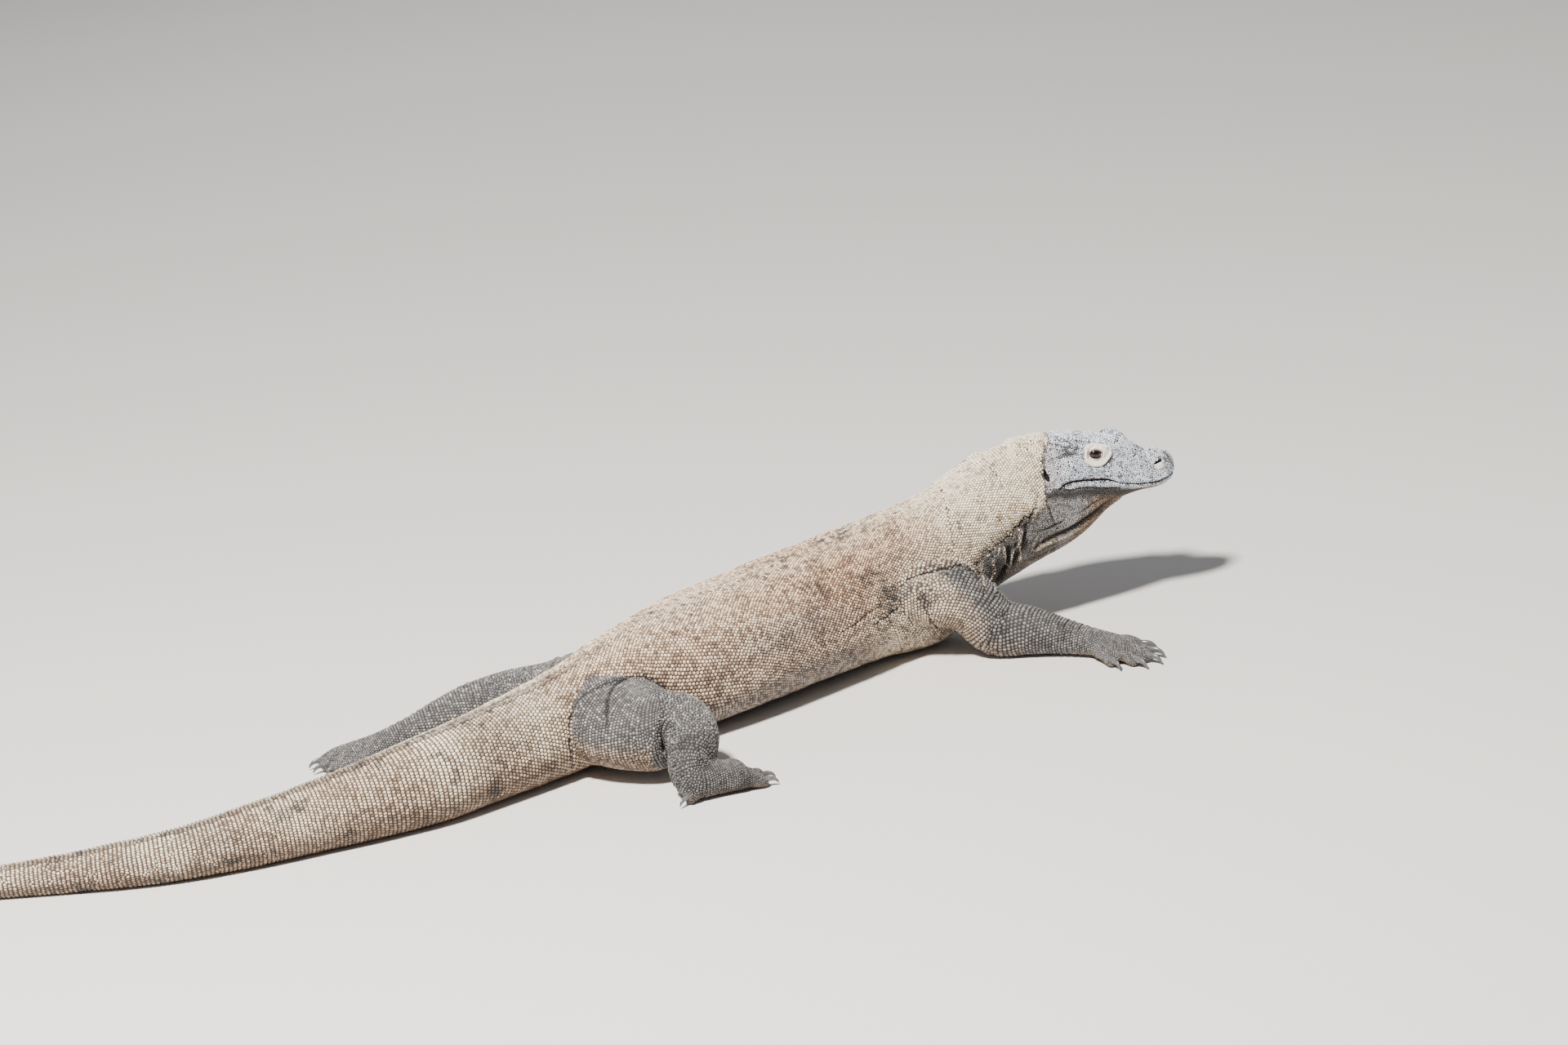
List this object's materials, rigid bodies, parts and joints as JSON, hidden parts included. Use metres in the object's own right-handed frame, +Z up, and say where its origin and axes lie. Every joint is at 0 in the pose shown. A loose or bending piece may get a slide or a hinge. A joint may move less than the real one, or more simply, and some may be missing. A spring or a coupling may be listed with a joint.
{
  "type": "komodo dragon",
  "caption": "Life-size still model of a large monitor lizard lying on its belly, head raised, long tail curving back, legs splayed, clawed feet flat on the ground",
  "frame": {"origin": "under the middle of the bounding box, on the floor", "axes": "+X towards the snout, +Y to the animal's left, +Z up"},
  "size_m": [2.1458, 0.764, 0.2827],
  "materials": {
    "hide": "dry pebbled scales, tan and cream beads with dark brown gaps",
    "hide_dark": "dry pebbled scales, slate grey with pale specks, on the legs",
    "hide_head": "small smooth blue-grey beads with dark gaps, on the head",
    "claw_horn": "smooth slate-grey horn, slightly glossy",
    "eye_gloss": "wet glossy dark brown eyeball"
  },
  "bodies": {
    "root": {"head": "hide_head", "lower_jaw": "hide_head", "eye_left": "eye_gloss", "eye_right": "eye_gloss", "neck": "hide", "trunk": "hide", "tail_base": "hide", "tail_middle": "hide", "tail_rear": "hide", "tail_tip": "hide", "upper_arm_left": "hide_dark", "forearm_left": "hide_dark", "hand_left": "hide_dark", "thigh_left": "hide_dark", "shank_left": "hide_dark", "foot_left": "hide_dark", "claw_hand_left_1": "claw_horn", "claw_hand_left_2": "claw_horn", "claw_hand_left_3": "claw_horn", "claw_hand_left_4": "claw_horn", "claw_hand_left_5": "claw_horn", "claw_foot_left_1": "claw_horn", "claw_foot_left_2": "claw_horn", "claw_foot_left_3": "claw_horn", "claw_foot_left_4": "claw_horn", "claw_foot_left_5": "claw_horn", "upper_arm_right": "hide_dark", "forearm_right": "hide_dark", "hand_right": "hide_dark", "thigh_right": "hide_dark", "shank_right": "hide_dark", "foot_right": "hide_dark", "claw_hand_right_1": "claw_horn", "claw_hand_right_2": "claw_horn", "claw_hand_right_3": "claw_horn", "claw_hand_right_4": "claw_horn", "claw_hand_right_5": "claw_horn", "claw_foot_right_1": "claw_horn", "claw_foot_right_2": "claw_horn", "claw_foot_right_3": "claw_horn", "claw_foot_right_4": "claw_horn", "claw_foot_right_5": "claw_horn"}
  },
  "joints": []
}
